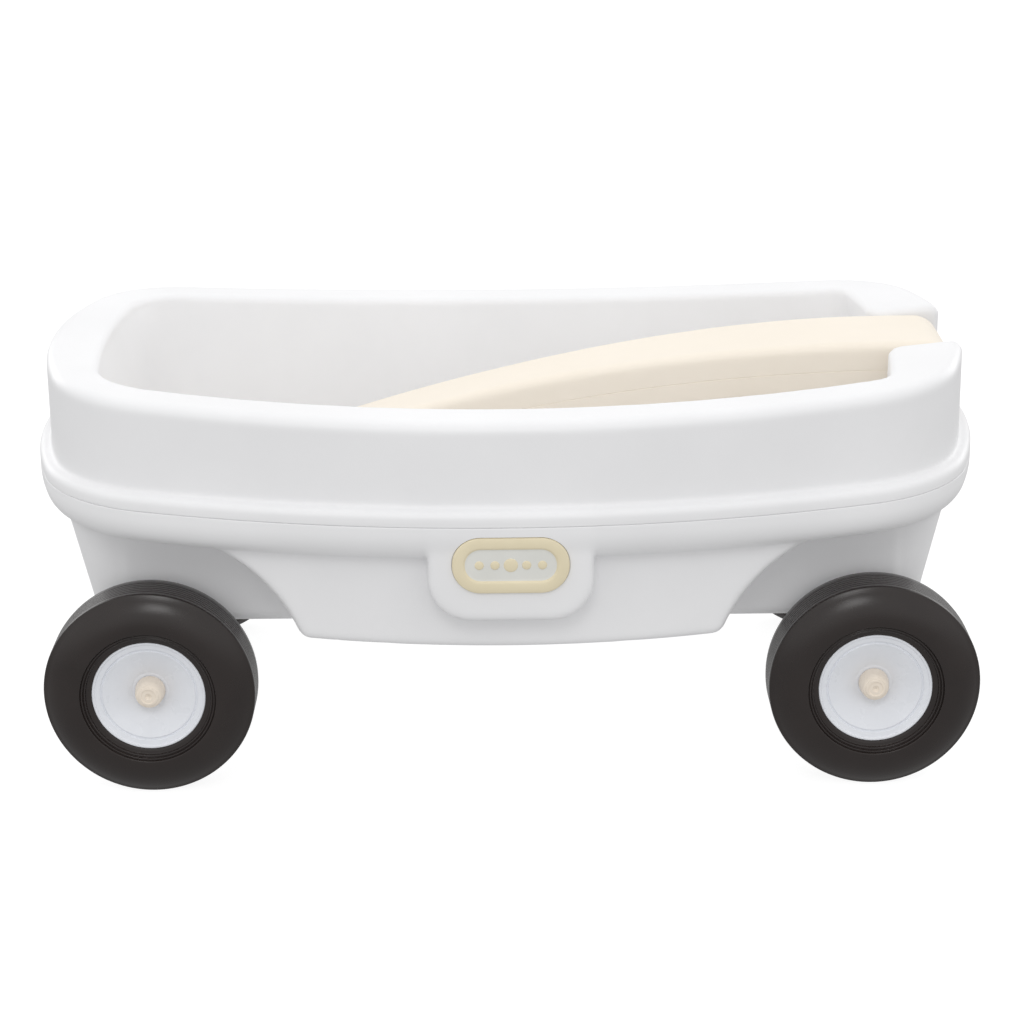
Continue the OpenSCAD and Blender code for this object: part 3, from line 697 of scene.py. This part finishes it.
for side_name, mirrored, node in (("right", 1, "badge_right"), ("left", -1, "badge_left")):
    work = bmesh.new()
    inner = badge_ring
    profile = [(1.2, badge_back), (0, badge_back), (0, badge_face - 1.2),
               (0.35, badge_face - 0.4), (1.2, badge_face), (inner - 1.4, badge_face),
               (inner - 0.5, badge_face - 0.3), (inner, badge_face - badge_sunk + 0.3),
               (inner + 0.4, badge_face - badge_sunk), (inner + 2, badge_face - badge_sunk)]
    loops = [badge_loop(work, d, y) for d, y in profile]
    for one, other in zip(loops, loops[1:]):
        bridge(work, one, other)
    work.faces.new(loops[0][::-1])
    work.faces.new(loops[-1])
    for k in range(-2, 3):
        dome(work, (wheel_shift + k * stud_pitch, -(badge_face - badge_sunk), badge_z),
             middle_stud_r if k == 0 else stud_r, stud_h)
    if mirrored == -1:
        for v in work.verts:
            v.co.y = -v.co.y
    bmesh.ops.recalc_face_normals(work, faces=work.faces[:])
    for f in work.faces:
        c = f.calc_center_median() / MM
        in_panel = abs(abs(c.y) - badge_face) > badge_sunk - 1.0 and \
            abs(c.x - wheel_shift) < badge_len / 2 - inner + 0.2 and \
            abs(c.z - badge_z) < badge_h / 2 - inner + 0.2
        is_stud = abs(abs(c.y) - badge_face) < badge_sunk - 0.1 and in_panel
        f.material_index = 1 if in_panel and not is_stud else 0
    badge_mesh = bpy.data.meshes.new("badge_" + side_name)
    work.to_mesh(badge_mesh)
    work.free()
    badge = piece("badge_plate_" + side_name, badge_mesh, "body", badge_cream, [node])
    badge_mesh.materials.append(badge_panel)
    sharp = badge.modifiers.new("split", "EDGE_SPLIT")
    sharp.split_angle = math.radians(50)

# ---------------------------------------------------------------- wheels
# Four wheels: a hollow blow-moulded tyre of brown-black plastic with a softly
# bulging face, a bluish white dished hub pressed into it, with six ribs
# behind, and a cream cap pushed on the end of the axle.
wheel_w = 51.5
track_in = 131.5
hub_r = 40.8
hub_recess = 5.8
hub_dish = 12.0
axle_r = 4.75
rib_count = 6
rib_t = 2.2
rib_from_r, rib_to_r = 12.0, 38.4
rib_low, rib_high = 6.0, 30.0
crown_r = 50.0
tread_edge = 41.5
bulge_tilt = math.radians(44)
bulge_r = (wheel_r - 1.6 - crown_r) / math.sin(bulge_tilt)
bulge_steps = 8
tread_start, tread_pitch, tread_grooves = 17.5, 3.5, 6
hub_h = wheel_w - hub_recess
cap_h = hub_h - hub_dish + 0.3


def rounded_profile(points, steps=5):
    """Rounds each corner of a closed profile of (radius, along, corner r)."""
    made = []
    n = len(points)
    for i, (r, h, corner) in enumerate(points):
        here = Vector((r, h))
        before = Vector(points[i - 1][:2]) - here
        after = Vector(points[(i + 1) % n][:2]) - here
        if corner <= 0 or before.length == 0 or after.length == 0:
            made.append((r, h))
            continue
        half = before.angle(after) / 2
        reach = min(corner / math.tan(half), before.length * 0.49, after.length * 0.49)
        start = here + before.normalized() * reach
        end = here + after.normalized() * reach
        for s in range(steps + 1):
            t = s / steps
            p = start * (1 - t) ** 2 + here * (2 * t * (1 - t)) + end * t ** 2
            made.append((p.x, p.y))
    return made


def lathed(name, profile, x, side, steps=144):
    """Turns a closed profile round a wheel's axle. Its second number runs
    outward from the wheel's inner face."""
    work = bmesh.new()
    rings = []
    for i in range(steps):
        a = 2 * math.pi * i / steps
        rings.append([work.verts.new(((x + r * math.cos(a)) * MM, side * (track_in + h) * MM,
                                      (wheel_r + r * math.sin(a)) * MM)) for r, h in profile])
    for i in range(steps):
        bridge(work, rings[i], rings[(i + 1) % steps])
    bmesh.ops.remove_doubles(work, verts=work.verts[:], dist=1e-7)
    bmesh.ops.recalc_face_normals(work, faces=work.faces[:])
    made = bpy.data.meshes.new(name)
    work.to_mesh(made)
    work.free()
    return made


# Each profile runs round the wall's section: radius, how far out from the
# wheel's inner face, corner radius.
tyre_profile = [
    (hub_r + 0.05, 4, 0.8), (44.2, 4, 1.0), (44.9, 1.6, 0.8), (62, 1.2, 4), (70, 3.2, 6),
    (wheel_r - 0.6, 8.5, 4), (wheel_r, 14, 3)]
for k in range(tread_grooves):
    at = tread_start + k * tread_pitch
    tyre_profile += [(wheel_r, at, 0.2), (wheel_r - 0.2, at + 0.3, 0.1),
                     (wheel_r - 0.2, at + 0.6, 0.1), (wheel_r, at + 0.9, 0.2)]
tyre_profile += [(wheel_r, tread_edge - 2.0, 0.8), (wheel_r - 0.4, tread_edge - 0.4, 0.8)]
for k in range(bulge_steps + 1):
    tilt = bulge_tilt * (1 - k / bulge_steps)
    tyre_profile.append((crown_r + bulge_r * math.sin(tilt),
                         wheel_w - bulge_r * (1 - math.cos(tilt)), 0))
tyre_profile += [
    (48.9, 51.3, 0.6), (48.3, 49.8, 0.4), (47.8, 50.4, 0.5), (47.0, 50.4, 0.5),
    (46.5, 48.8, 0.4), (45.8, 49.3, 0.5), (45.1, 49.2, 0.5), (44.5, 46.9, 0.4),
    (42.6, 46.5, 0.6), (hub_r + 0.05, 45.9, 0.5)]

hub_profile = [
    (axle_r + 0.06, -3.9, 0), (12.5, -3.9, 0.6), (12.5, 31.1, 1.0), (31.5, 39.6, 3),
    (hub_r - 2.6, hub_h - 5.2, 0.5), (hub_r - 2.6, 5.2, 0.5), (hub_r, 5.0, 0.5),
    (hub_r, hub_h, 0.8), (hub_r - 1.6, hub_h, 0.6), (hub_r - 2.2, hub_h - 1.2, 0.5),
    (35.2, hub_h - 1.6, 0.5), (34.7, hub_h - 2.9, 0.3), (33.9, hub_h - 2.9, 0.3),
    (33.3, hub_h - 2.0, 0.6),
    (13.2, hub_h - hub_dish, 1.2), (axle_r + 0.06, hub_h - hub_dish, 0)]

cap_profile = [
    (axle_r + 0.03, cap_h, 0), (10.8, cap_h, 0.4), (10.8, cap_h + 2.4, 0.7),
    (9.9, cap_h + 9.6, 1.2), (8.8, cap_h + 12.0, 0.9), (7.4, cap_h + 12.6, 0.3),
    (7.0, cap_h + 13.3, 0.5), (5.4, cap_h + 13.7, 0.4), (5.0, cap_h + 13.1, 0.3),
    (2.4, cap_h + 13.3, 0.3), (1.8, cap_h + 12.5, 0.3), (0.01, cap_h + 12.2, 0),
    (0.01, cap_h + 10.1, 0), (axle_r + 0.03, cap_h + 10.1, 0)]

tyre_black = moulded("tyre_black", (0.0125, 0.0075, 0.0062), (0.0175, 0.0110, 0.0095),
                     grain=(700.0, 0.05), cloud=22.0, gloss=(0.24, 0.30), Specular_IOR_Level=0.5)
hub_white = moulded("hub_white", (0.80, 0.82, 0.865), (0.85, 0.87, 0.915),
                    grain=(1500.0, 0.08), cloud=30.0, gloss=(0.24, 0.32))
cap_cream = moulded("cap_cream", (0.84, 0.745, 0.63), (0.90, 0.805, 0.69),
                    grain=(1500.0, 0.12), cloud=60.0, gloss=(0.40, 0.50))

for end_name, x in (("front", axle_xs[1]), ("rear", axle_xs[0])):
    for side_name, side in (("left", 1), ("right", -1)):
        corner = end_name + "_" + side_name
        rides_on = "wheel_" + corner
        piece("tyre_skin_" + corner,
              lathed("tyre_" + corner, rounded_profile(tyre_profile), x, side),
              rides_on, tyre_black, ["tyre_" + corner])
        hub_mesh = lathed("hub_" + corner, rounded_profile(hub_profile), x, side)
        work = bmesh.new()
        work.from_mesh(hub_mesh)
        for k in range(rib_count):
            a = 2 * math.pi * k / rib_count
            rib = bmesh.ops.create_cube(work, size=1.0)["verts"]
            rib_y = side * (track_in + (rib_low + rib_high) / 2)
            shape = (Matrix.Translation(Vector((x, rib_y, wheel_r)) * MM)
                     @ Matrix.Rotation(-a, 4, "Y")
                     @ Matrix.Translation(Vector(((rib_from_r + rib_to_r) / 2, 0, 0)) * MM)
                     @ Matrix.Diagonal(((rib_to_r - rib_from_r) * MM,
                                        (rib_high - rib_low) * MM, rib_t * MM, 1)))
            bmesh.ops.transform(work, matrix=shape, verts=rib)
            edges = list({e for v in rib for e in v.link_edges})
            bmesh.ops.bevel(work, geom=edges, offset=0.5 * MM, segments=2, affect="EDGES")
        work.to_mesh(hub_mesh)
        work.free()
        piece("hub_disc_" + corner, hub_mesh, rides_on, hub_white, ["hub_" + corner])
        piece("axle_cap_" + corner,
              lathed("cap_" + corner, rounded_profile(cap_profile), x, side, 72),
              end_name + "_axle", cap_cream, ["cap_" + corner])

# ---------------------------------------------------------------- handle
# The pull handle: one broad hollow moulding of cream polyethylene, arched
# along its length, with a round boss on the pivot pin at the front and a loop
# with a hand hole at the back. Its two mould halves leave a fine line.
pivot_x = 313.0
pivot_z = 275.1
handle_w = 87.0
neck_w = 60.0
handle_depth = 41.0
grip_depth = 40.0
grip_w = 110.0
grip_len = 80.0
hand_hole_w = 74.0
hand_hole = 34.0
handle_end = -251.0
handle_top_z = 295.6
crown_x = pivot_x - 13.0
rest_gap = 0.6
handle_sag = (handle_top_z - tub_floor_z - rest_gap - grip_depth) / (crown_x - handle_end) ** 2
handle_edge_r = 6.5
grip_x = handle_end + grip_len / 2
widening = (pivot_x - handle_end) * 0.6
line_half = 0.45
line_depth = 0.4
neck_from_x = pivot_x - 40.0
grip_end_r = 14.0
grip_shoulder_r = 22.0
grip_corner_r = grip_len * 0.38
hole_corner_r = hand_hole * 0.42
hole_edge_r = 7.0


def handle_top(x):
    """Height of the handle's upper face, which falls away towards the grip."""
    return handle_top_z - handle_sag * np.maximum(crown_x - x, 0) ** 2


def handle_thick(x):
    """The handle's depth, a little less at the grip."""
    share = np.clip((x - handle_end) / (crown_x - handle_end) * 1.6, 0, 1)
    return grip_depth + (handle_depth - grip_depth) * share


def handle_middle(x):
    """Height of the parting line."""
    return handle_top(x) - handle_thick(x) / 2


def box_2d(u, v, half_u, half_v, r):
    """Distance from a rectangle with round corners."""
    qu = abs(u) - half_u + r
    qv = abs(v) - half_v + r
    outside = np.hypot(np.maximum(qu, 0), np.maximum(qv, 0))
    return outside + np.minimum(np.maximum(qu, qv), 0) - r


def handle_field(x, y, z):
    """Less than nought inside the handle, as for the tub."""
    slope = 2 * handle_sag * np.maximum(crown_x - x, 0)
    bar = (abs(z - handle_middle(x)) - handle_thick(x) / 2) / np.sqrt(1 + slope ** 2)
    boss = np.hypot(x - pivot_x, z - pivot_z) - handle_depth / 2
    side = np.where(x > pivot_x, boss, bar)
    side = cut(side, handle_end - x, grip_end_r)
    turn = np.clip((neck_from_x - x) / widening, 0, 1)
    half = handle_w / 2 - (handle_w - neck_w) / 2 * (1 - np.cos(math.pi * turn)) / 2
    strip = np.maximum(abs(y) - half, grip_x - x)
    loop = box_2d(x - grip_x, y, grip_len / 2, grip_w / 2, grip_corner_r)
    plan = join(strip, loop, grip_shoulder_r)
    solid = cut(side, plan, handle_edge_r)
    hole = box_2d(x - grip_x, y, hand_hole / 2, hand_hole_w / 2, hole_corner_r)
    return cut(solid, -hole, hole_edge_r)


handle_cell = 2.6
handle_corners, handle_quads = skin(
    handle_field,
    spaced(-256, (-160, handle_cell), (-60, handle_cell * 1.4), (280, handle_cell * 1.6),
           (338, handle_cell)),
    both_ways(0, (16, handle_cell * 1.3), (60, handle_cell)),
    spaced(138, (300, handle_cell)))
handle_mesh = mesh_of("handle_moulding", handle_corners, handle_quads)
work = sliced(handle_mesh, (-line_half, 0, line_half), handle_middle)
for v in work.verts:
    if abs(v.co.z / MM) < 0.02:
        v.co -= Vector((v.normal.x, v.normal.y, 0)).normalized() * line_depth * MM
unshear(work, handle_mesh, handle_middle)
handle_mesh.set_sharp_from_angle(angle=math.radians(30))

handle_cream = moulded("handle_cream", (0.88, 0.805, 0.69), (0.91, 0.835, 0.73),
                       grain=(1300.0, 0.12), cloud=8.0, gloss=(0.38, 0.46))
piece("handle_moulding", handle_mesh, "handle", handle_cream, ["handle"])

# -------------------------------------------------------------- hardware
# Bright drawn steel axles, washers, screws, handle pin and clip, and pale
# nylon bushes that the rods turn in. They keep their CAD shapes.
steel, steel_tree, steel_shader = new_material(
    "drawn_steel", Base_Color=(0.56, 0.57, 0.58, 1), Metallic=1.0, Roughness=0.3)
brushed = steel_tree.nodes.new("ShaderNodeTexNoise")
brushed.inputs["Scale"].default_value = 260.0
brushed.inputs["Detail"].default_value = 5.0
steel_range = steel_tree.nodes.new("ShaderNodeMapRange")
steel_range.inputs["To Min"].default_value = 0.22
steel_range.inputs["To Max"].default_value = 0.42
steel_place = steel_tree.nodes.new("ShaderNodeTexCoord")
steel_tree.links.new(steel_place.outputs["Object"], brushed.inputs["Vector"])
steel_tree.links.new(brushed.outputs["Fac"], steel_range.inputs["Value"])
steel_tree.links.new(steel_range.outputs["Result"], steel_shader.inputs["Roughness"])
steel_tint = steel_tree.nodes.new("ShaderNodeMix")
steel_tint.data_type = "RGBA"
steel_tint.inputs["A"].default_value = (0.50, 0.51, 0.52, 1)
steel_tint.inputs["B"].default_value = (0.62, 0.62, 0.63, 1)
steel_tree.links.new(brushed.outputs["Fac"], steel_tint.inputs["Factor"])
steel_tree.links.new(steel_tint.outputs["Result"], steel_shader.inputs["Base Color"])

pale_nylon = moulded("pale_nylon", (0.72, 0.72, 0.66), (0.78, 0.78, 0.72),
                     grain=(2000.0, 0.08), cloud=60.0, gloss=(0.3, 0.4))
for name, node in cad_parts.items():
    if node.hide_render:
        continue
    node.data.materials.clear()
    node.data.materials.append(pale_nylon if "bush" in name else steel)
